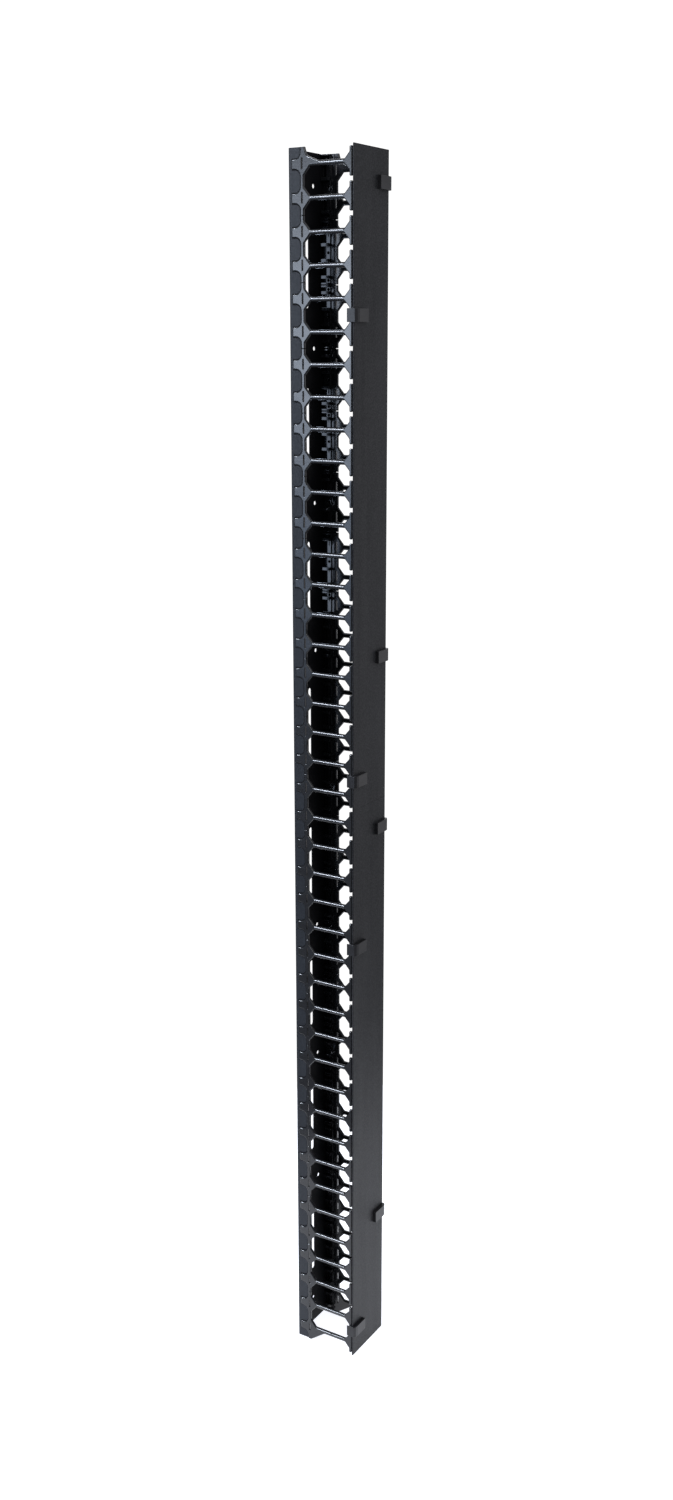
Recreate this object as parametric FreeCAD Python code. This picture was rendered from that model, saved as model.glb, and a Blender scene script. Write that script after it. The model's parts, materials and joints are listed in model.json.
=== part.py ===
import FreeCAD, Part
import math
import os
from FreeCAD import Vector

# Vertical cable manager for a 42 unit rack: a folded steel back channel, short moulded
# finger strips pushed onto both of its flanges, and two flat covers whose hook clips cradle
# the T heads of the fingers, so that each cover opens at its left or at its right edge.
#
# Frame in millimetres: X runs across the width, Y runs from the covers (negative) to the
# back face at Y = 0, and Z runs up from the bottom end. X = 0 is the middle plane.
# Depths named below are measured back from the front face of the covers.

# Overall
unit_pitch = 44.45
cover_width = 94.8

# Each side is a row of equal finger strips
strips_per_side = 21
fingers_per_strip = 2

# Covers, with hemmed long edges
cover_count = 2
cover_sheet = 1.2
hem_width = 7.0
hem_relief = 0.3
cover_gap = 1.5

# Finger strips, whose T heads are upright six sided beads
strip_thickness = 4.8
strip_inset = 0.5
strip_end_gap = 0.8
bar_half_height = 3.6
bead_sides = 6
head_clearance = 0.73
head_gap = 5.6
head_gusset_height = 13.2
head_gusset_length = 8.5
window_back_depth = 82.0
root_gusset_length = 9.6
root_gusset_height = 14.8
spine_width = 5.3
brace_foot = 1.0
brace_length = 26.0

# Lobes of the strips, which lap over the outside of the flanges
lap_thickness = 1.7
lobe_half_height = 6.9
lobe_setback = 5.8
lobe_corner = 2.0
lobe_straight = 6.2
bay_half_height = 8.0

# Rails of the strips, which lap over the inside of the flanges
rail_back_depth = 99.0

# Back channel, with its slots and holes placed in rack units from the top
flange_depth = 21.7
flange_overlap = 1.5
steel_thickness = 1.5
bend_inner_radius = 1.0
strip_clearance = 0.1
slot_width = 8.0
slot_length = 111.0
hole_radius = 3.2
hole_offset = 17.6
pattern_units = 5
first_hole_unit = 1.0
first_slot_unit = 3.5
foot_hole_units_up = 1.0

# Clips and their liners
clip_height = 18.5
clip_proud = 5.5
clip_width = 33.05
clip_wall = 1.15
clip_bevel_width = 3.65
clip_bevel_drop = 2.8
clip_crown_width = 8.85
clip_crown_drop = 0.6
outer_prong_length = 4.65
inner_prong_length = 2.6
bead_clearance = 0.15
liner_wall = 0.6
running_clearance = 0.1

# Rack units from a cover's upper end to its first clip, and from its last clip to its lower end
clip_end_units = {"left": (5, 1), "right": (1, 5)}

# How far the cutting tools reach past what they cut
cut_margin = 1.0

# Values worked out from those above
units_tall = strips_per_side * fingers_per_strip
cover_seam_unit = units_tall // cover_count
height = unit_pitch * units_tall
half_width = cover_width / 2
half_pitch = unit_pitch / 2
half_step = math.pi / bead_sides
bead_inset = strip_inset + strip_thickness / 2
bead_corner_radius = strip_thickness / 2 / math.cos(half_step)
flat_half = strip_thickness / 2 * math.tan(half_step)
hem_thickness = 2 * cover_sheet
bead_depth = hem_thickness + head_clearance + bead_corner_radius
head_half_length = (unit_pitch - head_gap) / 2
spine_back_depth = window_back_depth + spine_width
flange_inset = strip_inset + lap_thickness + strip_clearance
flange_front_depth = spine_back_depth - flange_overlap
body_depth = flange_front_depth + flange_depth
lobe_tip_depth = body_depth - lobe_setback
rail_inset = flange_inset + steel_thickness + strip_clearance
liner_inner_radius = bead_corner_radius + bead_clearance
cradle_radius = liner_inner_radius + liner_wall + running_clearance
cover_ends = {"upper": (0, cover_seam_unit), "lower": (cover_seam_unit, units_tall)}


def place(inset, depth, z):
    """A point given by its inset from the cover's left edge and its depth behind the covers."""
    return Vector(inset - half_width, depth - body_depth, z)


def prism(corners, direction):
    """A solid whose outline joins the corners and whose length is the direction's."""
    outline = Part.makePolygon(corners + [corners[0]])
    return Part.Face(outline).extrude(direction)


def plate(outline, inset, thickness):
    """A plate parallel to the side of the manager, from an outline of depths and heights."""
    corners = [place(inset, depth, z) for depth, z in outline]
    return prism(corners, Vector(thickness, 0, 0))


def mirrored_outline(half):
    """A closed outline from its upper half, repeated below in the opposite order."""
    return half + [(depth, -z) for depth, z in reversed(half)]


def box(inset, depth, z, size_x, size_y, size_z):
    """A box whose low corner is given as an inset, a depth and a height."""
    return Part.makeBox(size_x, size_y, size_z, place(inset, depth, z))


def bead_section():
    """The corners of a bead's six sided section, as pairs of offsets."""
    angles = [half_step * (2 * k + 1) for k in range(bead_sides)]
    return [(bead_corner_radius * math.cos(a), bead_corner_radius * math.sin(a)) for a in angles]


def other_side(shape):
    """The mirror image of a shape in the middle plane of the manager."""
    return shape.mirror(Vector(0, 0, 0), Vector(1, 0, 0))


def finger_bead():
    """The upright six sided bead along the front of one T head."""
    base = -head_half_length
    corners = [place(bead_inset + dx, bead_depth + dy, base) for dx, dy in bead_section()]
    return prism(corners, Vector(0, 0, 2 * head_half_length))


def finger_comb():
    """One pitch of the comb at full thickness: spine, root gusset, bar and T head gusset."""
    gusset_front = bead_depth + flat_half
    upper_half = [
        (flange_front_depth - strip_clearance, half_pitch),
        (window_back_depth, half_pitch),
        (window_back_depth, root_gusset_height),
        (window_back_depth - root_gusset_length, bar_half_height),
        (gusset_front + head_gusset_length, bar_half_height),
        (gusset_front, head_gusset_height),
    ]
    return plate(mirrored_outline(upper_half), strip_inset, strip_thickness)


def finger_lobe():
    """One pitch of the thin lap over the flange: the back of the spine and a bevelled lobe."""
    step_depth = flange_front_depth - strip_clearance
    upper_half = [
        (step_depth, half_pitch),
        (spine_back_depth, half_pitch),
        (spine_back_depth, half_pitch - bay_half_height),
        (lobe_tip_depth - lobe_straight, lobe_half_height),
        (lobe_tip_depth - lobe_corner, lobe_half_height),
        (lobe_tip_depth, lobe_half_height - lobe_corner),
    ]
    return plate(mirrored_outline(upper_half), strip_inset, lap_thickness)


def finger_rail():
    """One pitch of the thin rail that laps over the flange's inside."""
    step_depth = flange_front_depth - strip_clearance
    outline = mirrored_outline([(step_depth, half_pitch), (rail_back_depth, half_pitch)])
    return plate(outline, rail_inset, strip_inset + strip_thickness - rail_inset)


def end_brace(direction):
    """The brace from the end of the spine to the last bar; direction is 1 at the top."""
    outline = [
        (window_back_depth, direction * half_pitch),
        (window_back_depth - brace_foot, direction * half_pitch),
        (window_back_depth - brace_length, direction * bar_half_height),
        (window_back_depth, direction * bar_half_height),
    ]
    return plate(outline, strip_inset, strip_thickness)


def bar_height(index):
    """The height of a finger's bar; index counts the fingers down from the top."""
    return height - (index + 0.5) * unit_pitch


def strip_ranges():
    """The first and last finger of each strip, counted down from the top."""
    starts = range(0, units_tall, fingers_per_strip)
    return [(first, first + fingers_per_strip - 1) for first in starts]


def finger_strip(first, last):
    """One moulded strip of the left side, with its fingers, lobes and rail."""
    pieces = []
    for index in range(first, last + 1):
        parts = [finger_comb(), finger_bead(), finger_lobe(), finger_rail()]
        if index == 0:
            parts.append(end_brace(1))
        if index == units_tall - 1:
            parts.append(end_brace(-1))
        for part in parts:
            part.translate(Vector(0, 0, bar_height(index)))
        pieces.extend(parts)
    strip = pieces[0].multiFuse(pieces[1:])
    for seam_unit in (first, last + 1):
        if 0 < seam_unit < units_tall:
            seam = height - seam_unit * unit_pitch
            strip = strip.cut(box(0, 0, seam - strip_end_gap / 2, half_width, body_depth, strip_end_gap))
    return strip.removeSplitter()


def slot_cutter(z):
    """The tool for one upright slot through the back of the channel, centred at a height."""
    radius = slot_width / 2
    straight = slot_length - slot_width
    depth = body_depth - steel_thickness - cut_margin
    reach = steel_thickness + 2 * cut_margin
    cutter = box(half_width - radius, depth, z - straight / 2, slot_width, reach, straight)
    for end in (-1, 1):
        start = place(half_width, depth, z + end * straight / 2)
        cutter = cutter.fuse(Part.makeCylinder(radius, reach, start, Vector(0, 1, 0)))
    return cutter


def hole_cutter(offset, z):
    """The tool for one round hole through the back, at an offset from the middle plane."""
    start = place(half_width + offset, body_depth - steel_thickness - cut_margin, z)
    return Part.makeCylinder(hole_radius, steel_thickness + 2 * cut_margin, start, Vector(0, 1, 0))


def web_cutters():
    """The tools for the slots and holes of the back, down its whole height."""
    cutters = []
    unit = first_slot_unit
    while unit * unit_pitch + slot_length / 2 < height:
        cutters.append(slot_cutter(height - unit * unit_pitch))
        unit += pattern_units
    foot_unit = units_tall - foot_hole_units_up
    unit = first_hole_unit
    while unit < foot_unit:
        for offset in (-hole_offset, hole_offset):
            cutters.append(hole_cutter(offset, height - unit * unit_pitch))
        unit += pattern_units
    cutters.append(hole_cutter(0, height - foot_unit * unit_pitch))
    return cutters


def fillet_back_edges(shape, radius):
    """Rounds the two long back edges of a block that is as tall as the manager or taller."""
    middle = shape.BoundBox.Center.y
    edges = [e for e in shape.Edges if e.Length >= height and e.CenterOfMass.y > middle]
    return shape.makeFillet(radius, edges)


def back_channel():
    """The folded steel channel: a back with slots and holes, and two flanges."""
    width = cover_width - 2 * flange_inset
    outer = box(flange_inset, flange_front_depth, 0, width, flange_depth, height)
    inner = box(
        flange_inset + steel_thickness,
        flange_front_depth - cut_margin,
        -cut_margin,
        width - 2 * steel_thickness,
        flange_depth - steel_thickness + cut_margin,
        height + 2 * cut_margin,
    )
    outer = fillet_back_edges(outer, bend_inner_radius + steel_thickness)
    inner = fillet_back_edges(inner, bend_inner_radius)
    return outer.cut([inner] + web_cutters())


def clip_lines(name, side):
    """The unit lines of a cover's two clips on one side, counted down from the top."""
    first, last = cover_ends[name]
    from_upper_end, from_lower_end = clip_end_units[side]
    return first + from_upper_end, last - from_lower_end


def cover_span(name):
    """The lowest and highest height of a cover, which stops short of the seam."""
    first, last = cover_ends[name]
    upper_gap = cover_gap / 2 if first > 0 else 0
    lower_gap = cover_gap / 2 if last < units_tall else 0
    return height - last * unit_pitch + lower_gap, height - first * unit_pitch - upper_gap


def cover_profile(z):
    """The section of a cover at a height: flat sheet with both long edges hemmed inwards."""
    right = cover_width - cover_sheet
    front = Part.LineSegment(place(cover_sheet, 0, z), place(right, 0, z))
    right_fold = Part.Arc(
        place(right, 0, z), place(cover_width, cover_sheet, z), place(right, hem_thickness, z)
    )
    hem_and_back = [
        place(right, hem_thickness, z),
        place(cover_width - hem_width, hem_thickness, z),
        place(cover_width - hem_width, cover_sheet, z),
        place(hem_width, cover_sheet, z),
        place(hem_width, hem_thickness, z),
        place(cover_sheet, hem_thickness, z),
    ]
    back = [Part.LineSegment(a, b) for a, b in zip(hem_and_back, hem_and_back[1:])]
    left_fold = Part.Arc(
        place(cover_sheet, hem_thickness, z), place(0, cover_sheet, z), place(cover_sheet, 0, z)
    )
    edges = [curve.toShape() for curve in [front, right_fold] + back + [left_fold]]
    return Part.Face(Part.Wire(edges))


def cover(name):
    """One cover, with its hems relieved where the clips grip the sheet."""
    low, high = cover_span(name)
    shape = cover_profile(low).extrude(Vector(0, 0, high - low))
    notch_height = clip_height + 2 * hem_relief
    notch_width = hem_width + 2 * hem_relief
    for side in clip_end_units:
        for unit in clip_lines(name, side):
            z = height - unit * unit_pitch - notch_height / 2
            notch = box(-hem_relief, cover_sheet, z, notch_width, hem_thickness, notch_height)
            shape = shape.cut(notch if side == "left" else other_side(notch))
    return shape


def clip(unit, side):
    """A hook clip: it grips the sheet's edge and cradles the beads of two T heads."""
    z = height - unit * unit_pitch - clip_height / 2
    outer = bead_inset - cradle_radius - clip_wall
    inner = bead_inset + cradle_radius + clip_wall
    hook_side = bead_inset - cradle_radius
    prong_side = bead_inset + cradle_radius
    outer_tip = bead_depth + outer_prong_length
    inner_tip = bead_depth + inner_prong_length
    before_cradle = [
        place(outer + clip_width, 0, z),
        place(outer + clip_width, -clip_proud, z),
        place(outer + clip_crown_width, -clip_proud, z),
        place(outer + clip_bevel_width, clip_crown_drop - clip_proud, z),
        place(outer, clip_bevel_drop - clip_proud, z),
        place(outer, outer_tip, z),
        place(hook_side, outer_tip, z),
        place(hook_side, bead_depth, z),
    ]
    cradle = Part.Arc(
        place(hook_side, bead_depth, z),
        place(bead_inset, bead_depth - cradle_radius, z),
        place(prong_side, bead_depth, z),
    )
    after_cradle = [
        place(prong_side, bead_depth, z),
        place(prong_side, inner_tip, z),
        place(inner, inner_tip, z),
        place(inner, cover_sheet, z),
        place(0, cover_sheet, z),
        place(0, 0, z),
        place(outer + clip_width, 0, z),
    ]
    curves = [Part.LineSegment(a, b) for a, b in zip(before_cradle, before_cradle[1:])]
    curves.append(cradle)
    curves += [Part.LineSegment(a, b) for a, b in zip(after_cradle, after_cradle[1:])]
    outline = Part.Wire([curve.toShape() for curve in curves])
    shape = Part.Face(outline).extrude(Vector(0, 0, clip_height))
    return shape if side == "left" else other_side(shape)


def liner(unit, side):
    """The half round liner in a clip's cradle, which turns on the beads of two T heads."""
    z = height - unit * unit_pitch - clip_height / 2
    base = place(bead_inset, bead_depth, z)
    up = Vector(0, 0, 1)
    outer_radius = liner_inner_radius + liner_wall
    tube = Part.makeCylinder(outer_radius, clip_height, base, up)
    tube = tube.cut(Part.makeCylinder(liner_inner_radius, clip_height, base, up))
    front_half = box(
        bead_inset - outer_radius, bead_depth - outer_radius, z,
        2 * outer_radius, outer_radius, clip_height,
    )
    shape = tube.common(front_half)
    return shape if side == "left" else other_side(shape)


def export(shape, node):
    """Writes one node's solids to its own STEP file."""
    for solid in shape.Solids:
        assert solid.isValid() and solid.Volume > 0, node
    shape.exportStep("parts/" + node + ".step")


def main():
    os.makedirs("parts", exist_ok=True)
    export(back_channel(), "back_channel")
    for number, (first, last) in enumerate(strip_ranges(), start=1):
        strip = finger_strip(first, last)
        export(strip, "finger_strip_left_%d" % number)
        export(other_side(strip), "finger_strip_right_%d" % number)
    for name in cover_ends:
        export(cover(name), "cover_" + name)
        for side in clip_end_units:
            units = clip_lines(name, side)
            for unit, end in zip(units, ("top", "bottom")):
                export(clip(unit, side), "clip_%s_%s_%s" % (name, side, end))
            liners = Part.makeCompound([liner(unit, side) for unit in units])
            export(liners, "hinge_liners_%s_%s" % (name, side))


main()
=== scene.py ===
import json
import math

import bpy
import numpy as np
from mathutils import Matrix, Vector
from mathutils.geometry import tessellate_polygon


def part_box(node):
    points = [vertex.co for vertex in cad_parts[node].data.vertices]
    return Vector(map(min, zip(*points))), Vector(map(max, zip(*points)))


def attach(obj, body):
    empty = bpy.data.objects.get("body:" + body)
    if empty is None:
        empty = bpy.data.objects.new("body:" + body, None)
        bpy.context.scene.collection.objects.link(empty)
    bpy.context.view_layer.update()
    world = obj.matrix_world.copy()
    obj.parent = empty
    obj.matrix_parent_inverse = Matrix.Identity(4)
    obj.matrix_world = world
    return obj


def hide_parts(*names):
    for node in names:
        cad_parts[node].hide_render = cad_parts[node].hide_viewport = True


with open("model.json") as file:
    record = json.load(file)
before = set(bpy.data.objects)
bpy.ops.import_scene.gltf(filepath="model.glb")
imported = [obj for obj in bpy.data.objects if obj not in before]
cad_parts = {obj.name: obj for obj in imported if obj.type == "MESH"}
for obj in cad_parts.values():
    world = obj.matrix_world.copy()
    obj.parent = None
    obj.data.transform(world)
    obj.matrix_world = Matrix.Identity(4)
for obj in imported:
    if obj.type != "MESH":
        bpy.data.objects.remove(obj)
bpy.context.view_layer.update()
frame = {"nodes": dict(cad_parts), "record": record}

# A tall cable manager seen from its left front corner: a black folded steel channel, black
# moulded finger strips along both of its sides, and two flat black covers held by hook clips.
# Sizes are in millimetres, unless a comment says metres. An inset is measured from the covers'
# edge on the piece's own side towards the middle, and a depth behind the covers' front face.
MILLIMETRE = 0.001
COVER_WIDTH = 94.8
BODY_DEPTH = 107.5
UNIT_PITCH = 44.45
FINGERS_PER_STRIP = 2
STRIPS_PER_SIDE = 21
HEIGHT = UNIT_PITCH * FINGERS_PER_STRIP * STRIPS_PER_SIDE

# Finger strips
STRIP_INSET = 0.5
STRIP_THICKNESS = 4.8
LAP_THICKNESS = 1.7
BAR_HALF_HEIGHT = 3.6
BEAD_DEPTH = 5.9
BEAD_HALF = 2.4
HEAD_HALF_LENGTH = 19.4
HEAD_GUSSET_HEIGHT = 12.0
HEAD_GUSSET_LENGTH = 7.5
WINDOW_BACK_DEPTH = 82.0
ROOT_GUSSET_LENGTH = 9.6
ROOT_GUSSET_HEIGHT = 14.8
COMB_BACK_DEPTH = 85.7
SPINE_BACK_DEPTH = 87.3
LOBE_TIP_DEPTH = 101.7
LOBE_HALF_HEIGHT = 6.9
BAY_CORNER = 8.5
LOBE_CORNER = 2.6
BRACE_FOOT = 1.0
BRACE_LENGTH = 26.0
TOP_BRACE_FOOT = 2.0
TOP_BRACE_KNEE = (76.5, 11.0)
TOP_BRACE_KNEE_CORNER = 4.0
TOP_BRACE_END = 58.0
TOP_BRACE_END_CORNER = 8.0
WINDOW_CORNER = 2.0
HEAD_END_ROUND = 1.9
END_CORNER = 0.15
EDGE_ROUND = 1.7
SLIT_DEPTH = 84.1
SLIT_HALF_WIDTH = 1.25
SLIT_HALF_HEIGHT = 7.5
SLIT_CORNER = 1.0
SLIT_RISE = 0.8

# How far each kind of side moves in at a rounded edge, as a share of the edge's inset
LOBE_EDGE_SHARE = 1.1
BAR_EDGE_SHARE = 2.0
WINDOW_EDGE_SHARE = 0.6
END_EDGE_SHARE = 0.15

# A level side longer than this is a bar; sides straighter than the error count as level
BAR_LEAST_LENGTH = 10.0
LEVEL_ERROR = 1e-6

# The rail on the inner side of a strip, with its stem, panels, ribs and peg holes
RAIL_INSET = 3.9
RAIL_BACK_DEPTH = 99.0
STEM_INSET = 7.0
STEM_FRONT_DEPTH = 92.5
PANEL_INSET = 6.0
PANEL_FRONT_DEPTH = 98.0
RIB_BACK_DEPTH = 104.9
RIB_INSET = 12.9
RIB_OFFSET = 10.8
RIB_HALF_HEIGHT = 2.2
END_RIB_OFFSET = 1.9
END_RIB_HALF_HEIGHT = 1.2
PEG_HOLE_RADIUS = 1.9
PEG_HOLE_DEPTH = 95.7
END_PEG_OFFSET = 6.2
SMALL_ROUND = 0.4

# Clips
CLIP_PROUD = 5.5
CLIP_WIDTH = 33.05
CLIP_WALL = 1.15
CLIP_BEVEL_WIDTH = 3.65
CLIP_BEVEL_DROP = 2.8
CLIP_CROWN_WIDTH = 8.85
CLIP_CROWN_DROP = 0.6
CLIP_OUTER_PRONG = 4.65
CLIP_INNER_PRONG = 2.6
CLIP_CORNER = 0.5
CLIP_FOOT_CORNER = 0.2
CLIP_BEVEL_CORNER = 1.0
CLIP_CROWN_CORNER = 2.0
CLIP_EDGE_ROUND = 0.45
CRADLE_RADIUS = 3.62
TIGHT_CORNER = 0.1

# Covers: a sheet hemmed along both long edges; the lower one ends a hair below the upper one
COVER_SHEET = 1.2
HEM_WIDTH = 7.0
SEAM_GAP = 0.25
SEAM_ROUND = 0.2

# A corner or edge rounder than the fine radius gets the finer steps, and no corner that moves
# in gets sharper than the least radius
FINE_RADIUS = 0.8
FINE_CORNER_STEPS = 6
FINE_EDGE_STEPS = 4
COARSE_STEPS = 2
LEAST_RADIUS = 0.02

# Which columns of a plate's points hold the inset, the depth and the height: a flat plate's
# outline is drawn in depths and heights, and an upright one's in insets and depths
FLAT_COLUMNS = (2, 0, 1)
UPRIGHT_COLUMNS = (0, 1, 2)

# Finishes: the dark and the light tone, the roughness and the index of refraction
CHANNEL_COAT = ((0.005, 0.007, 0.011, 1), (0.011, 0.014, 0.019, 1), 0.50, 1.37)
COVER_COAT = ((0.005, 0.0055, 0.007, 1), (0.030, 0.0305, 0.033, 1), 0.50, 1.33)
STRIP_PLASTIC = ((0.006, 0.0065, 0.008, 1), (0.010, 0.011, 0.013, 1), 0.18, 1.5)
CLIP_PLASTIC = ((0.009, 0.009, 0.010, 1), (0.015, 0.015, 0.017, 1), 0.32, 1.39)
LINER_PLASTIC = ((0.05, 0.05, 0.052, 1), (0.08, 0.08, 0.084, 1), 0.38, 1.5)

# Patterns: a scale is in lumps per metre, a step is where a tone starts to change and over how
# much, a share is a pattern's part in the bump or the tone, a rough is how far its lows and
# highs spread the roughness, and a bump is in metres
NOISE_ROUGHNESS = 0.55
PEEL_SCALE = 430.0
PEEL_STEP = (0.4, 0.25)
COAT_GRAIN_SCALE = 1500.0
COAT_GRAIN_SHARE = 0.35
COAT_GRAIN_ROUGH = 0.16
COAT_BUMP = 0.00020
PATCH_SCALE = 9.0
PATCH_STRETCH = (1, 1, 0.35)
PATCH_STEP = (0.35, 0.35)
PATCH_ROUGH = 0.16
STREAK_SCALE = 30.0
STREAK_STRETCH = (3, 3, 0.12)
STREAK_ROUGH = 0.12
DUST_SCALE = 330.0
DUST_STEP = (0.035, 0.05)
DUST_SHARE = 0.35
DUST_COLOUR = (0.16, 0.16, 0.17, 1)
FLOW_SCALE = 55.0
FLOW_STRETCH = (0.6, 0.25, 1.6)
FLOW_STEP = (0.3, 0.4)
FLOW_SHARE = 0.8
SKIN_SCALE = 1500.0
SKIN_SHARE = 0.06
SKIN_ROUGH = 0.03
RUB_SCALE = 22.0
RUB_ROUGH = 0.09
PLASTIC_BUMP = 0.00006

# The channel's inner faces lie within this half width and behind this depth, in metres, and
# get painted shade: a darker colour and a lower index of refraction stand in for the shade
# inside the channel
INSIDE_HALF_WIDTH = 0.0438
INSIDE_DEPTH = 0.0006
EDGE_SOFTNESS = 0.0004
SHADE_PAINT_COLOUR = (0.004, 0.004, 0.005, 1)
SHADE_PAINT_INDEX = 1.15

# A painted shadow: the dark line on the flange along the lobes' edges
LAP_SHADE_WIDTH = 0.8
LAP_SHADE_SOFTNESS = 0.5
LAP_SHADE_SHARE = 0.9

# Surroundings: each patch of light has a direction, the cosines where it starts and is full,
# a colour and a strength. The first two show in the near side's faces, the third draws lines
# along rounded edges, the fourth shows in the covers, and the last two lie behind and overhead.
WHITE = (1, 1, 1, 1)
WORLD_GLOWS = [
    ((-0.85, 0.52, -0.05), 0.984, 0.9945, (0.74, 0.97, 1.36, 1), 1.6),
    ((-0.857, 0.513, 0.02), 0.9935, 0.9985, (0.88, 0.97, 1.11, 1), 7.5),
    ((-0.78, 0.48, 0.41), 0.9935, 0.9972, (0.90, 0.98, 1.12, 1), 88.0),
    ((0.85, -0.53, -0.14), 0.94, 0.99, (1.0, 0.98, 1.0, 1), 0.65),
    ((0.85, 0.53, 0.30), 0.80, 0.97, WHITE, 0.7),
    ((0, 0, 1), 0.60, 0.95, WHITE, 0.8),
]
ROOM_LIGHT = 0.31
ROOM_COLOUR = (0.95, 0.98, 1.07, 1)
BACKDROP_LIGHT = 1.1

# The floor, in metres
FLOOR_RADIUS = 0.8
FLOOR_CENTRE = (0.12, -0.07, 0)
FLOOR_SIDES = 96
FLOOR_DARK = (0.54, 0.55, 0.57, 1)
FLOOR_LIGHT = (0.60, 0.61, 0.63, 1)
FLOOR_GRAIN_SCALE = 400.0
FLOOR_BUMP = 0.00002
FLOOR_ROUGHNESS = 0.9
FLOOR_GLOW = 0.95
FLOOR_COLOUR = (0.965, 0.985, 1.05, 1)

# A wide lamp, and the daylight that comes in by the upper slots of the back and falls on the
# far inner rail; sizes and places in metres
LAMP_PLACE = (-0.9, -1.6, 2.6)
LAMP_SIZE = (1.2, 1.2)
LAMP_POWER = 18.0
SLOT_UNITS = (3.5, 8.5, 13.5)
SLOT_LAMP_SIZE = (0.013, 0.105)
SLOT_LAMP_PLACE = (0.0268, -0.0025)
SLOT_LAMP_POWER = 0.013
DAYLIGHT = (0.82, 0.96, 1.20)

# The camera: its place in metres, the directions of the picture's sides, and its lens
CAMERA_PLACE = (-1.92836, -1.23796, 1.59811)
CAMERA_RIGHT = Vector((0.5245, -0.8514, -0.0017))
CAMERA_DOWN = Vector((-0.2152, -0.1306, -0.9678))
CAMERA_FORWARD = Vector((0.8238, 0.5080, -0.2517))
CAMERA_SENSOR = 36.0
CAMERA_LENS = 36.91
CAMERA_REACH = 60.0


def rounded_outline(corners, radii, shares, inset):
    """A closed outline with every corner rounded, moved inwards by an inset.

    Each side is moved along its own normal by the inset times its share. A corner's arc has
    its centre where the two moved sides, moved on by the arc's radius, cross. Its points are
    centre + sign * radius * (cos angle, sin angle), and the angle turns evenly from one
    side's normal to the next. The radius loses the inset at an outward corner, and gains it
    at an inward one. Returns the points and the outward normals.
    """
    corners = np.asarray(corners, float)
    radii = np.asarray(radii, float)
    steps = FINE_CORNER_STEPS if radii.max() > FINE_RADIUS else COARSE_STEPS
    moves = np.asarray(shares, float) * inset
    along = np.roll(corners, -1, axis=0) - corners
    along /= np.linalg.norm(along, axis=1)[:, None]
    normals = np.stack([along[:, 1], -along[:, 0]], axis=1)
    reach = (normals * corners).sum(axis=1) - moves
    before, after = np.roll(normals, 1, axis=0), normals
    reach_before, reach_after = np.roll(reach, 1), reach
    cross = before[:, 0] * after[:, 1] - before[:, 1] * after[:, 0]
    dot = (before * after).sum(axis=1)
    sign = np.where(cross > 0, 1.0, -1.0)
    change = (np.roll(moves, 1) + moves) / 2
    radius = np.maximum(radii - sign * change, LEAST_RADIUS)
    low, high = reach_before - sign * radius, reach_after - sign * radius
    centre_x = (low * after[:, 1] - high * before[:, 1]) / cross
    centre_y = (before[:, 0] * high - after[:, 0] * low) / cross
    start = np.arctan2(before[:, 1], before[:, 0])
    turn = np.arctan2(cross, dot)
    angle = start[:, None] + turn[:, None] * np.linspace(0, 1, steps + 1)[None, :]
    direction = np.stack([np.cos(angle), np.sin(angle)], axis=2)
    centre = np.stack([centre_x, centre_y], axis=1)
    points = centre[:, None, :] + (sign * radius)[:, None, None] * direction
    return points.reshape(-1, 2), direction.reshape(-1, 2)


class Solid:
    """Points, normals and faces of one piece, gathered from closed shells."""

    def __init__(self):
        self.points, self.normals, self.faces = [], [], []
        self.count = 0

    def add(self, points, normals, faces):
        """Adds one shell; its faces are turned outwards by the sign of its volume."""
        volume = 0.0
        for face in faces:
            fan = np.asarray(face)
            a = points[fan[:, 0]]
            for k in range(1, fan.shape[1] - 1):
                volume += (a * np.cross(points[fan[:, k]], points[fan[:, k + 1]])).sum()
        for face in faces:
            fan = np.asarray(face) + self.count
            self.faces.extend((fan[:, ::-1] if volume < 0 else fan).tolist())
        self.points.append(points)
        self.normals.append(normals)
        self.count += len(points)

    def build(self, name):
        """Makes the mesh object, with the normals that the shells were given."""
        mesh = bpy.data.meshes.new(name)
        points = np.concatenate(self.points) * MILLIMETRE
        mesh.from_pydata(points.tolist(), [], self.faces)
        mesh.shade_smooth()
        mesh.normals_split_custom_set_from_vertices(np.concatenate(self.normals).tolist())
        mesh.update()
        piece = bpy.data.objects.new(name, mesh)
        bpy.context.scene.collection.objects.link(piece)
        return piece


def edge_rows(low, high, low_round, high_round):
    """Where a plate's rings lie, from its low face to its high one.

    Over a rounded edge of radius r the height is r * (1 - sin t) from the face and the inset
    is r * (1 - cos t), for t from a quarter turn at the face to nothing at the wall. Each row
    also holds the shares of the outline's normal, cos t, and of the upward one, which is
    sin t over the high face's edge and its opposite over the low one's.
    """
    steps = FINE_EDGE_STEPS if max(low_round, high_round) > FINE_RADIUS else COARSE_STEPS
    quarter = np.linspace(math.pi / 2, 0, steps + 1).tolist()
    rows = []
    for face, radius, facing in ((low, low_round, -1.0), (high, high_round, 1.0)):
        turns = quarter if facing < 0 else quarter[::-1]
        for t in turns if radius > 0 else (0.0,):
            height = face - facing * radius * (1 - math.sin(t))
            rows.append((height, radius * (1 - math.cos(t)), math.cos(t), facing * math.sin(t)))
    return rows


def cap(rims, facing):
    """Fills a flat face between its rims with triangles, turned by the sign of their areas."""
    outline = np.concatenate([ring for _, ring in rims])
    source = np.concatenate([start + np.arange(len(ring)) for start, ring in rims])
    fill = tessellate_polygon([[Vector((x, y, 0)) for x, y in ring] for _, ring in rims])
    fill = np.asarray(fill)
    a, b, c = (outline[fill[:, k]] for k in range(3))
    area = (b - a)[:, 0] * (c - a)[:, 1] - (b - a)[:, 1] * (c - a)[:, 0]
    wrong = (area > 0) == (facing < 0)
    return np.where(wrong[:, None], fill[:, ::-1], fill), source


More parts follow.
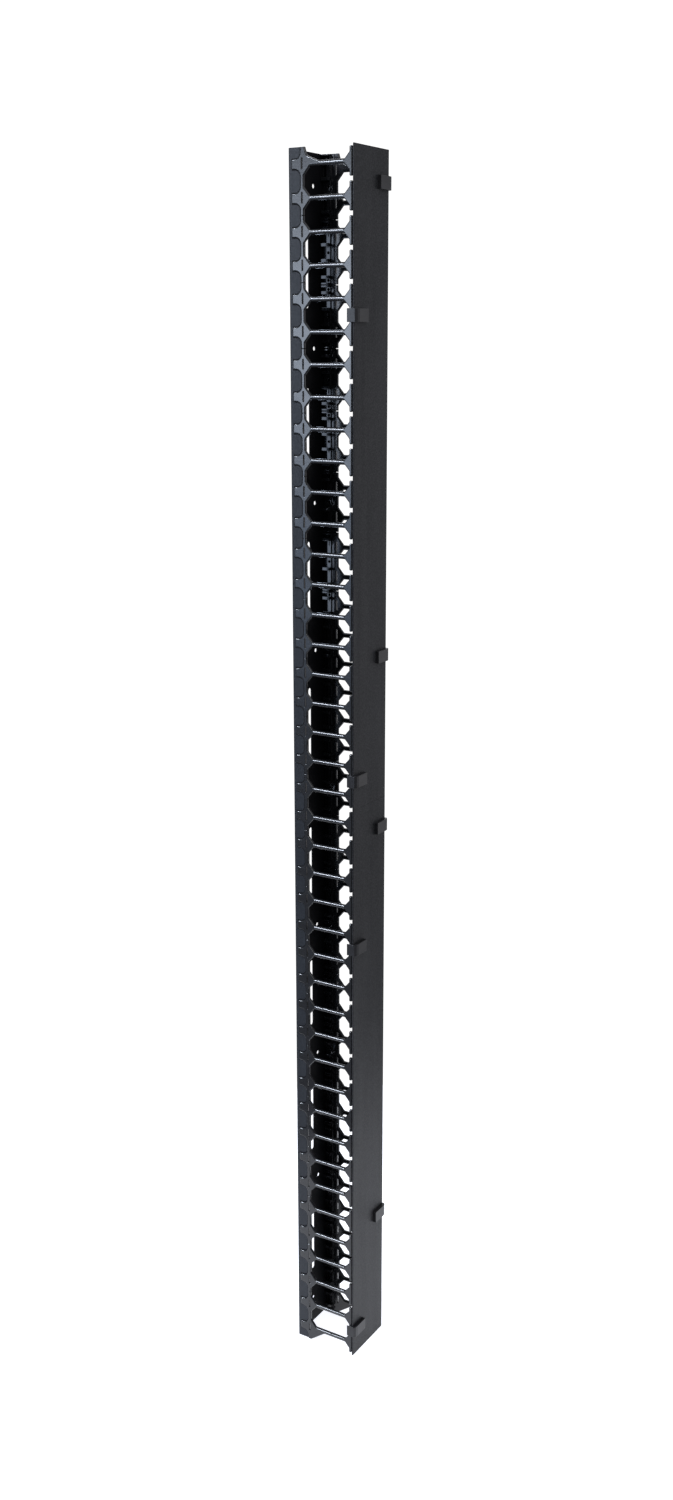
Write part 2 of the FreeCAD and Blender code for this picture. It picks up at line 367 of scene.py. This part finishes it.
def plate(solid, outlines, low, high, low_round, high_round, place):
    """A flat moulded plate with rounded edges, made of rings round each of its outlines.

    outlines holds the rim, counterclockwise, and then any holes, clockwise, each as
    (corners, radii, shares). A ring is the outline moved inwards, at a height across the
    plate. place turns the outline's two coordinates and the height into points in the frame.
    A face with a sharp edge gets points of its own, so that its normals stay flat.
    """
    rows = edge_rows(low, high, low_round, high_round)
    points, normals, faces, base = [], [], [], 0
    ends = {0: [], len(rows) - 1: []}
    for corners, radii, shares in outlines:
        for row, (height, inset, outwards, upwards) in enumerate(rows):
            ring, normal = rounded_outline(corners, radii, shares, inset)
            size = len(ring)
            points.append(np.column_stack([ring, np.full(size, height)]))
            normals.append(np.column_stack([normal * outwards, np.full(size, upwards)]))
            if row in ends:
                ends[row].append((base + row * size, ring))
        index = np.arange(size)
        following = np.roll(index, -1)
        for row in range(len(rows) - 1):
            a, b = base + row * size, base + (row + 1) * size
            faces.append(np.column_stack([a + index, a + following, b + following, b + index]))
        base += len(rows) * size
    points, normals = np.concatenate(points), np.concatenate(normals)
    for rims, radius, facing in zip(ends.values(), (low_round, high_round), (-1.0, 1.0)):
        fill, source = cap(rims, facing)
        if radius > 0:
            faces.append(source[fill])
        else:
            faces.append(fill + len(points))
            points = np.concatenate([points, points[source]])
            normals = np.concatenate([normals, np.tile((0.0, 0.0, facing), (len(source), 1))])
    solid.add(place(points), place(normals, direction=True), faces)


def rim(rows, shares=None):
    """An outline from rows of two places and a corner radius; its sides move in evenly."""
    return [row[:2] for row in rows], [row[2] for row in rows], shares or [1.0] * len(rows)


def rectangle(across, up, radius, share=1.0, hole=False):
    """The outline of a rectangle between two places each way; a hole's runs clockwise."""
    corners = [(across[0], up[0]), (across[1], up[0]), (across[1], up[1]), (across[0], up[1])]
    if hole:
        corners = corners[:1] + corners[:0:-1]
    return corners, [radius] * 4, [share] * 4


def placer(side, columns):
    """A function that turns a plate's points into points in the frame, on one side.

    From the left, x is the inset less half the covers' width, and its opposite from the
    right. y is the depth less the body's depth. Directions are turned but not moved.
    """
    sign = 1.0 if side == "left" else -1.0
    inset, depth, height = columns

    def place(values, direction=False):
        shift = 0.0 if direction else 1.0
        x = sign * (values[:, inset] - shift * COVER_WIDTH / 2)
        return np.column_stack([x, values[:, depth] - shift * BODY_DEPTH, values[:, height]])

    return place


def node_ends(node):
    """The lowest and highest heights of a node."""
    low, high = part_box(node)
    return low[2] / MILLIMETRE, high[2] / MILLIMETRE


def bar_height(index):
    """The height of a finger's bar; index counts the fingers down from the top."""
    return HEIGHT - (index + 0.5) * UNIT_PITCH


def comb_front(first, last, top, bottom):
    """The front side of a strip from top to bottom: root gussets, bars and T heads."""
    bead_front, bead_back = BEAD_DEPTH - BEAD_HALF, BEAD_DEPTH + BEAD_HALF
    half_pitch = UNIT_PITCH / 2
    head = [
        (bead_back + HEAD_GUSSET_LENGTH, BAR_HALF_HEIGHT, WINDOW_CORNER),
        (bead_back, HEAD_GUSSET_HEIGHT, WINDOW_CORNER),
        (bead_back, HEAD_HALF_LENGTH, HEAD_END_ROUND),
        (bead_front, HEAD_HALF_LENGTH, HEAD_END_ROUND),
    ]
    root = [
        (WINDOW_BACK_DEPTH, ROOT_GUSSET_HEIGHT, WINDOW_CORNER),
        (WINDOW_BACK_DEPTH - ROOT_GUSSET_LENGTH, BAR_HALF_HEIGHT, WINDOW_CORNER),
    ]
    top_brace = [
        (WINDOW_BACK_DEPTH - TOP_BRACE_FOOT, half_pitch, END_CORNER),
        TOP_BRACE_KNEE + (TOP_BRACE_KNEE_CORNER,),
        (TOP_BRACE_END, BAR_HALF_HEIGHT, TOP_BRACE_END_CORNER),
    ]
    foot_brace = [
        (WINDOW_BACK_DEPTH - BRACE_FOOT, half_pitch, END_CORNER),
        (WINDOW_BACK_DEPTH - BRACE_LENGTH, BAR_HALF_HEIGHT, WINDOW_CORNER),
    ]
    foot = FINGERS_PER_STRIP * STRIPS_PER_SIDE - 1
    rows = [(WINDOW_BACK_DEPTH, top, END_CORNER)] if first > 0 else []
    for index in range(first, last + 1):
        z = bar_height(index)
        upper = (top_brace if index == 0 else root) + head
        lower = (foot_brace if index == foot else root) + head
        rows += [(depth, z + rise, radius) for depth, rise, radius in upper]
        rows += [(depth, z - rise, radius) for depth, rise, radius in reversed(lower)]
    if last < foot:
        rows.append((WINDOW_BACK_DEPTH, bottom, END_CORNER))
    return rows


def lobes_back(first, last, top, bottom):
    """The back side of a strip's lap from bottom to top: the spine and its lobes."""
    spine, tip, half = SPINE_BACK_DEPTH, LOBE_TIP_DEPTH, LOBE_HALF_HEIGHT
    rows = [(spine, bottom, END_CORNER)]
    for index in range(last, first - 1, -1):
        z = bar_height(index)
        rows += [(spine, z - half, BAY_CORNER), (tip, z - half, LOBE_CORNER),
                 (tip, z + half, LOBE_CORNER), (spine, z + half, BAY_CORNER)]
    rows.append((spine, top, END_CORNER))
    return rows


def edge_shares(front):
    """How far each side of the comb's front moves in for an edge: most on the long bars."""
    corners = np.asarray(front)[:, :2]
    run = np.abs(np.diff(corners, axis=0))
    bar = (run[:, 1] < LEVEL_ERROR) & (run[:, 0] > BAR_LEAST_LENGTH)
    upright = (run[:, 0] < LEVEL_ERROR) & (corners[:-1, 0] == WINDOW_BACK_DEPTH)
    shares = np.where(bar, BAR_EDGE_SHARE, 1.0)
    return np.where(upright, WINDOW_EDGE_SHARE, shares).tolist() + [END_EDGE_SHARE]


def slits(first, last):
    """The upright slit through the root of each finger."""
    depths = (SLIT_DEPTH - SLIT_HALF_WIDTH, SLIT_DEPTH + SLIT_HALF_WIDTH)
    rims = []
    for index in range(first, last + 1):
        z = bar_height(index) + SLIT_RISE
        heights = (z - SLIT_HALF_HEIGHT, z + SLIT_HALF_HEIGHT)
        rims.append(rectangle(depths, heights, SLIT_CORNER, END_EDGE_SHARE, hole=True))
    return rims


def round_hole(depth, z, radius):
    """A round hole: a square whose corners are rounded by half its side."""
    depths, heights = (depth - radius, depth + radius), (z - radius, z + radius)
    return rectangle(depths, heights, radius, hole=True)


def block(solid, insets, depths, heights, place):
    """A rail block with slightly rounded edges, as an upright outline of insets and depths."""
    outline = rectangle(insets, depths, SMALL_ROUND)
    plate(solid, [outline], heights[0], heights[1], SMALL_ROUND, SMALL_ROUND, place)


def inner_rail(solid, first, last, top, bottom, side):
    """The rail behind the flange: a stem with peg holes, panels and ribs at the unit lines."""
    flat, upright = placer(side, FLAT_COLUMNS), placer(side, UPRIGHT_COLUMNS)
    ribs, pegs = [], []
    for unit in range(first, last + 2):
        line = HEIGHT - unit * UNIT_PITCH
        seam = unit in (first, last + 1)
        for direction in (-1, 1):
            ribs.append((line + direction * RIB_OFFSET, RIB_HALF_HEIGHT))
            if seam:
                ribs.append((line + direction * END_RIB_OFFSET, END_RIB_HALF_HEIGHT))
                pegs.append(line + direction * END_PEG_OFFSET)
        if not seam:
            pegs.append(line)
        low, high = max(line - RIB_OFFSET, bottom), min(line + RIB_OFFSET, top)
        block(solid, (RAIL_INSET, PANEL_INSET), (PANEL_FRONT_DEPTH, RIB_BACK_DEPTH),
              (low, high), upright)
    for z, half in ribs:
        if bottom < z - half and z + half < top:
            block(solid, (RAIL_INSET, RIB_INSET), (STEM_FRONT_DEPTH, RIB_BACK_DEPTH),
                  (z - half, z + half), upright)
    holes = [round_hole(PEG_HOLE_DEPTH, z, PEG_HOLE_RADIUS) for z in pegs if bottom < z < top]
    face = STRIP_INSET + STRIP_THICKNESS
    for front, low, high in ((COMB_BACK_DEPTH, RAIL_INSET, face), (STEM_FRONT_DEPTH, face, STEM_INSET)):
        outline = rectangle((front, RAIL_BACK_DEPTH), (bottom, top), SMALL_ROUND)
        plate(solid, [outline] + holes, low, high, 0.0, SMALL_ROUND, flat)


def finger_strip(number, side):
    """One strip: the outer skin with its lobes, the comb behind it, and the inner rail."""
    first = (number - 1) * FINGERS_PER_STRIP
    last = first + FINGERS_PER_STRIP - 1
    node = "finger_strip_%s_%d" % (side, number)
    bottom, top = node_ends(node)
    place = placer(side, FLAT_COLUMNS)
    seam, face = STRIP_INSET + LAP_THICKNESS, STRIP_INSET + STRIP_THICKNESS
    front, back = comb_front(first, last, top, bottom), lobes_back(first, last, top, bottom)
    heel = [(COMB_BACK_DEPTH, bottom, END_CORNER), (COMB_BACK_DEPTH, top, END_CORNER)]
    front_shares = edge_shares(front)
    back_shares = [LOBE_EDGE_SHARE] * (len(back) - 1) + [END_EDGE_SHARE]
    holes = slits(first, last)

    solid = Solid()
    skin = rim(front + back, front_shares + back_shares)
    plate(solid, [skin] + holes, STRIP_INSET, seam, LAP_THICKNESS, 0.0, place)
    comb = rim(front + heel, front_shares + [0.0, END_EDGE_SHARE])
    plate(solid, [comb] + holes, seam, face, 0.0, EDGE_ROUND, place)
    inner_rail(solid, first, last, top, bottom, side)
    return solid.build(node + "_moulding")


def clip(node, side):
    """One hook clip: an upright extrusion that grips the cover and cradles two beads."""
    bottom, top = node_ends(node)
    bead_inset = STRIP_INSET + STRIP_THICKNESS / 2
    hook, prong = bead_inset - CRADLE_RADIUS, bead_inset + CRADLE_RADIUS
    outer, inner = hook - CLIP_WALL, prong + CLIP_WALL
    outer_tip, inner_tip = BEAD_DEPTH + CLIP_OUTER_PRONG, BEAD_DEPTH + CLIP_INNER_PRONG
    cradle_front = BEAD_DEPTH - CRADLE_RADIUS
    outline = rim([
        (outer + CLIP_WIDTH, 0, CLIP_FOOT_CORNER),
        (0, 0, TIGHT_CORNER),
        (0, COVER_SHEET, TIGHT_CORNER),
        (inner, COVER_SHEET, CLIP_CORNER),
        (inner, inner_tip, CLIP_CORNER),
        (prong, inner_tip, CLIP_CORNER),
        (prong, cradle_front, CRADLE_RADIUS),
        (hook, cradle_front, CRADLE_RADIUS),
        (hook, outer_tip, CLIP_CORNER),
        (outer, outer_tip, CLIP_CORNER),
        (outer, CLIP_BEVEL_DROP - CLIP_PROUD, CLIP_BEVEL_CORNER),
        (outer + CLIP_BEVEL_WIDTH, CLIP_CROWN_DROP - CLIP_PROUD, CLIP_CROWN_CORNER),
        (outer + CLIP_CROWN_WIDTH, -CLIP_PROUD, CLIP_CROWN_CORNER),
        (outer + CLIP_WIDTH, -CLIP_PROUD, CLIP_CORNER),
    ])
    solid = Solid()
    place = placer(side, UPRIGHT_COLUMNS)
    plate(solid, [outline], bottom, top, CLIP_EDGE_ROUND, CLIP_EDGE_ROUND, place)
    return solid.build(node + "_moulding")


def seam_lip():
    """The top edge of the lower cover, with the section of its hemmed sheet."""
    low, high = node_ends("cover_lower")[1], node_ends("cover_upper")[0] - SEAM_GAP
    hem, inner = 2 * COVER_SHEET, COVER_WIDTH - HEM_WIDTH
    outline = rim([
        (0, 0, COVER_SHEET),
        (COVER_WIDTH, 0, COVER_SHEET),
        (COVER_WIDTH, hem, COVER_SHEET),
        (inner, hem, TIGHT_CORNER),
        (inner, COVER_SHEET, TIGHT_CORNER),
        (HEM_WIDTH, COVER_SHEET, TIGHT_CORNER),
        (HEM_WIDTH, hem, TIGHT_CORNER),
        (0, hem, COVER_SHEET),
    ])
    solid = Solid()
    plate(solid, [outline], low, high, 0.0, SEAM_ROUND, placer("left", UPRIGHT_COLUMNS))
    return solid.build("cover_lower_seam_lip")


class Term:
    """A shader value in an expression: each operator adds a Math node."""

    def __init__(self, graph, socket):
        self.graph, self.socket = graph, socket

    def __add__(self, other):
        return self.graph.math("ADD", self, other)

    def __sub__(self, other):
        return self.graph.math("SUBTRACT", self, other)

    def __rsub__(self, other):
        return self.graph.math("SUBTRACT", other, self)

    def __mul__(self, other):
        return self.graph.math("MULTIPLY", self, other)

    def __abs__(self):
        return self.graph.math("ABSOLUTE", self)

    __radd__ = __add__
    __rmul__ = __mul__

    def above(self, level, width):
        """Rises from 0 to 1 as the value passes a level, over a width."""
        return self.graph.rise(self, level, level + width, 1.0)


class Graph:
    """The node tree of a material or of the surroundings, whose nodes come from one method."""

    def __init__(self, owner):
        self.owner = owner
        owner.use_nodes = True
        self.nodes, self.links = owner.node_tree.nodes, owner.node_tree.links
        self.nodes.clear()

    def add(self, kind, settings=None, values=None, output=None):
        """Adds a node: its settings first, then its sockets' values, linked if they are terms.

        values is a list in the sockets' order, or goes by their numbers or names. Gives the
        node, or one of its outputs as a term.
        """
        node = self.nodes.new(kind)
        for key, value in (settings or {}).items():
            setattr(node, key, value)
        pairs = enumerate(values) if isinstance(values, list) else (values or {}).items()
        for key, value in pairs:
            socket = node.inputs[key]
            if isinstance(value, Term):
                self.links.new(value.socket, socket)
            else:
                socket.default_value = value
        return node if output is None else Term(self, node.outputs[output])

    def math(self, operation, *values):
        """A Math node's result, from terms or numbers."""
        return self.add("ShaderNodeMath", {"operation": operation}, list(values), 0)

    def rise(self, value, start, full, strength):
        """Rises smoothly from 0 to a strength, as a value goes from start to full."""
        settings = {"interpolation_type": "SMOOTHSTEP"}
        return self.add("ShaderNodeMapRange", settings, [value, start, full, 0.0, strength], 0)


class Finish(Graph):
    """A material, with the patterns and surfaces that this object's finishes share."""

    def __init__(self, name):
        super().__init__(bpy.data.materials.new(name))

    def place(self):
        """A point's place on the object, in metres."""
        return self.add("ShaderNodeTexCoord", output="Object")

    def coordinates(self):
        """The x, y and z of a point's place, each as a term."""
        parts = self.add("ShaderNodeSeparateXYZ", values=[self.place()])
        return [Term(self, output) for output in parts.outputs]

    def noise(self, scale, detail, stretch=(1, 1, 1)):
        """Noise in lumps per metre, stretched along each axis."""
        place = self.add("ShaderNodeMapping", values={"Vector": self.place(), "Scale": stretch}, output=0)
        inputs = {"Vector": place, "Scale": scale, "Detail": detail, "Roughness": NOISE_ROUGHNESS}
        return self.add("ShaderNodeTexNoise", values=inputs, output="Fac")

    def cells(self, scale):
        """Distance to the nearest of scattered points, in points per metre."""
        inputs = {"Vector": self.place(), "Scale": scale}
        return self.add("ShaderNodeTexVoronoi", values=inputs, output="Distance")

    def mix(self, factor, first, second):
        """A colour between two colours."""
        return self.add("ShaderNodeMix", {"data_type": "RGBA"}, {0: factor, 6: first, 7: second}, 2)

    def inside(self):
        """Where the channel gets its painted shade: one within the channel's walls and 0 on its outer
        faces.
        """
        across, along, _ = self.coordinates()
        between = 1.0 - abs(across).above(INSIDE_HALF_WIDTH, EDGE_SOFTNESS)
        return between * (0.0 - along).above(INSIDE_DEPTH, EDGE_SOFTNESS)

    def lap_shade(self):
        """Painted shade: one on the flange along the edge of the lobes, and 0 elsewhere.

        A bay between two lobes has corners of radius r. The distance from its edge is
        r - sqrt(a * a + b * b), where a and b tell how far a point lies within r of the
        spine and of the nearer lobe.
        """
        _, along, height = self.coordinates()
        depth = along * (1 / MILLIMETRE) + BODY_DEPTH
        beat = self.math("FRACT", height * (1 / (UNIT_PITCH * MILLIMETRE)))
        rise = abs(beat - 0.5) * UNIT_PITCH
        a = self.math("MAXIMUM", (SPINE_BACK_DEPTH + BAY_CORNER) - depth, 0.0)
        b = self.math("MAXIMUM", (LOBE_HALF_HEIGHT + BAY_CORNER) - rise, 0.0)
        distance = BAY_CORNER - self.math("SQRT", a * a + b * b)
        near = 1.0 - distance.above(LAP_SHADE_WIDTH, LAP_SHADE_SOFTNESS)
        return near * (1.0 - depth.above(LOBE_TIP_DEPTH, LAP_SHADE_SOFTNESS))

    def close(self, height, distance, painted_shade=None, **inputs):
        """Ends the tree in a Principled surface, with a bump from a height.

        Where the painted shade mask is 1, a duller, darker surface takes its place, as painted shade.
        """
        bump = {"Strength": 1.0, "Distance": distance, "Height": height}
        surface = {key.replace("_", " "): value for key, value in inputs.items()}
        surface["Normal"] = self.add("ShaderNodeBump", values=bump, output=0)
        shader = self.add("ShaderNodeBsdfPrincipled", values=surface, output=0)
        if painted_shade is not None:
            # painted shade: a darker surface that reflects less
            surface.update({"IOR": SHADE_PAINT_INDEX, "Base Color": SHADE_PAINT_COLOUR})
            shade_surface = self.add("ShaderNodeBsdfPrincipled", values=surface, output=0)
            shader = self.add("ShaderNodeMixShader", values=[painted_shade, shader, shade_surface], output=0)
        self.add("ShaderNodeOutputMaterial", values={"Surface": shader})
        return self.owner


def powder_coat(name, dark, light, roughness, index, channel=False):
    """Baked powder coat: an orange peel skin, fine grain, faint patches and dust.

    The channel's has painted shade: a duller, darker surface on its inner faces and a dark painted shadow
    line along the lobes.
    """
    finish = Finish(name)
    peel = finish.noise(PEEL_SCALE, detail=2.0)
    grain = finish.noise(COAT_GRAIN_SCALE, detail=3.0)
    patches = finish.noise(PATCH_SCALE, detail=3.0, stretch=PATCH_STRETCH)
    streaks = finish.noise(STREAK_SCALE, detail=4.0, stretch=STREAK_STRETCH)
    dust = (1.0 - finish.cells(DUST_SCALE).above(*DUST_STEP)) * DUST_SHARE
    tone = finish.mix((patches.above(*PATCH_STEP) + peel.above(*PEEL_STEP)) * 0.5, dark, light)
    tone = finish.mix(dust, tone, DUST_COLOUR)
    rough = roughness + (patches - 0.5) * PATCH_ROUGH + (grain - 0.5) * COAT_GRAIN_ROUGH
    rough = rough + (streaks - 0.5) * STREAK_ROUGH
    painted_shade = None
    if channel:
        # painted shade inside the channel and along the lobes' edges
        painted_shade = finish.math("MAXIMUM", finish.inside(), finish.lap_shade() * LAP_SHADE_SHARE)
    return finish.close(peel + grain * COAT_GRAIN_SHARE, COAT_BUMP, painted_shade, Base_Color=tone,
                        Roughness=rough, IOR=index)


def moulded_plastic(name, dark, light, roughness, index):
    """Glossy moulded plastic: flow marks along the bars, a fine skin and rubbed patches."""
    finish = Finish(name)
    flow = finish.noise(FLOW_SCALE, detail=3.0, stretch=FLOW_STRETCH)
    skin = finish.noise(SKIN_SCALE, detail=2.0)
    rub = finish.noise(RUB_SCALE, detail=4.0)
    tone = finish.mix(flow.above(*FLOW_STEP), dark, light)
    rough = roughness + (rub - 0.5) * RUB_ROUGH + (skin - 0.5) * SKIN_ROUGH
    return finish.close(flow * FLOW_SHARE + skin * SKIN_SHARE, PLASTIC_BUMP, Base_Color=tone,
                        Roughness=rough, IOR=index)


def finish_cad_node(node, material):
    """Gives a carried-over CAD node its material."""
    slots = frame["nodes"][node].data.materials
    slots.clear()
    slots.append(material)


def body_of_node(node):
    """The body that a node belongs to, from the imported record."""
    for body, nodes in frame["record"]["behaviour"]["bodies"].items():
        if node in nodes:
            return body
    raise ValueError(node)


def dress(piece, node, material):
    """Lets a piece stand for a CAD node: gives it a material, puts it on that node's body and hides the
    node.
    """
    piece.data.materials.append(material)
    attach(piece, body_of_node(node))
    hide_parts(node)


def make_object():
    """Every piece of the cable manager."""
    steel = powder_coat("channel_coat_and_painted_shade", *CHANNEL_COAT, channel=True)
    sheet = powder_coat("cover_coat", *COVER_COAT)
    comb = moulded_plastic("finger_plastic", *STRIP_PLASTIC)
    hook = moulded_plastic("clip_plastic", *CLIP_PLASTIC)
    liner = moulded_plastic("liner_plastic", *LINER_PLASTIC)
    finish_cad_node("back_channel", steel)
    for side in ("left", "right"):
        for number in range(1, STRIPS_PER_SIDE + 1):
            node = "finger_strip_%s_%d" % (side, number)
            dress(finger_strip(number, side), node, comb)
    for cover in ("upper", "lower"):
        finish_cad_node("cover_" + cover, sheet)
        for side in ("left", "right"):
            finish_cad_node("hinge_liners_%s_%s" % (cover, side), liner)
            for end in ("top", "bottom"):
                node = "clip_%s_%s_%s" % (cover, side, end)
                dress(clip(node, side), node, hook)
    lip = seam_lip()
    lip.data.materials.append(sheet)
    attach(lip, body_of_node("cover_lower"))


def make_floor():
    """A plain pale round floor under the object."""
    turn = np.linspace(0, 2 * math.pi, FLOOR_SIDES, endpoint=False)
    edge = np.column_stack([np.cos(turn), np.sin(turn), np.zeros(FLOOR_SIDES)])
    edge = edge * FLOOR_RADIUS + FLOOR_CENTRE
    mesh = bpy.data.meshes.new("floor")
    mesh.from_pydata(edge.tolist(), [], [list(range(FLOOR_SIDES))])
    floor = bpy.data.objects.new("floor", mesh)
    bpy.context.scene.collection.objects.link(floor)
    finish = Finish("pale_floor")
    grain = finish.noise(FLOOR_GRAIN_SCALE, detail=2.0)
    tone = finish.mix(grain, FLOOR_DARK, FLOOR_LIGHT)
    surface = finish.close(grain, FLOOR_BUMP, Base_Color=tone, Roughness=FLOOR_ROUGHNESS,
                           Emission_Color=FLOOR_COLOUR, Emission_Strength=FLOOR_GLOW)
    mesh.materials.append(surface)


class Sky(Graph):
    """The surroundings, as even light and patches of light."""

    def light(self, colour, strength):
        """Light of one colour from all round."""
        return self.add("ShaderNodeBackground", values=[colour, strength], output=0)

    def glow(self, towards, start, full, colour, strength):
        """A soft patch of light round a direction: its brightness follows the dot product."""
        place = self.add("ShaderNodeTexCoord", output="Generated")
        unit = Vector(towards).normalized()
        near = self.add("ShaderNodeVectorMath", {"operation": "DOT_PRODUCT"}, [place, unit], "Value")
        return self.light(colour, self.rise(near, start, full, strength))


def make_world():
    """Studio surroundings: a dim room with soft patches of light, plain white behind."""
    world = bpy.data.worlds.new("studio")
    bpy.context.scene.world = world
    sky = Sky(world)
    room = sky.light(ROOM_COLOUR, ROOM_LIGHT)
    for glow in WORLD_GLOWS:
        room = sky.add("ShaderNodeAddShader", values=[room, sky.glow(*glow)], output=0)
    plain = sky.light(WHITE, BACKDROP_LIGHT)
    seen = sky.add("ShaderNodeLightPath", output="Is Camera Ray")
    both = sky.add("ShaderNodeMixShader", values=[seen, room, plain], output=0)
    sky.add("ShaderNodeOutputWorld", values={"Surface": both})


def area_lamp(name, place, aim, size, power, colour):
    """A rectangular lamp that the camera doesn't see, facing along a direction."""
    light = bpy.data.lights.new(name, "AREA")
    light.shape = "RECTANGLE"
    light.size, light.size_y = size
    light.energy, light.color = power, colour
    lamp = bpy.data.objects.new(name, light)
    bpy.context.scene.collection.objects.link(lamp)
    lamp.location = place
    lamp.rotation_euler = Vector(aim).to_track_quat("-Z", "Y").to_euler()
    lamp.visible_camera = False


def make_lights():
    """A wide soft lamp above the front, and the daylight in the slots of the back."""
    aim = Vector((0, 0, HEIGHT * MILLIMETRE / 2)) - Vector(LAMP_PLACE)
    area_lamp("softbox", LAMP_PLACE, aim, LAMP_SIZE, LAMP_POWER, WHITE[:3])
    for units in SLOT_UNITS:
        z = (HEIGHT - units * UNIT_PITCH) * MILLIMETRE
        area_lamp("slot_daylight", SLOT_LAMP_PLACE + (z,), (0, -1, 0), SLOT_LAMP_SIZE,
                  SLOT_LAMP_POWER, DAYLIGHT)


def make_camera():
    """The photograph's view, from the left front corner, above the middle and looking down."""
    camera = bpy.data.objects.new("camera", bpy.data.cameras.new("camera"))
    bpy.context.scene.collection.objects.link(camera)
    turn = Matrix((CAMERA_RIGHT, -CAMERA_DOWN, -CAMERA_FORWARD)).transposed().to_4x4()
    camera.matrix_world = Matrix.Translation(CAMERA_PLACE) @ turn
    camera.data.sensor_width = CAMERA_SENSOR
    camera.data.lens = CAMERA_LENS
    camera.data.clip_end = CAMERA_REACH
    bpy.context.scene.camera = camera


make_camera()
make_object()
make_floor()
make_world()
make_lights()
bpy.context.scene.view_settings.view_transform = "Standard"
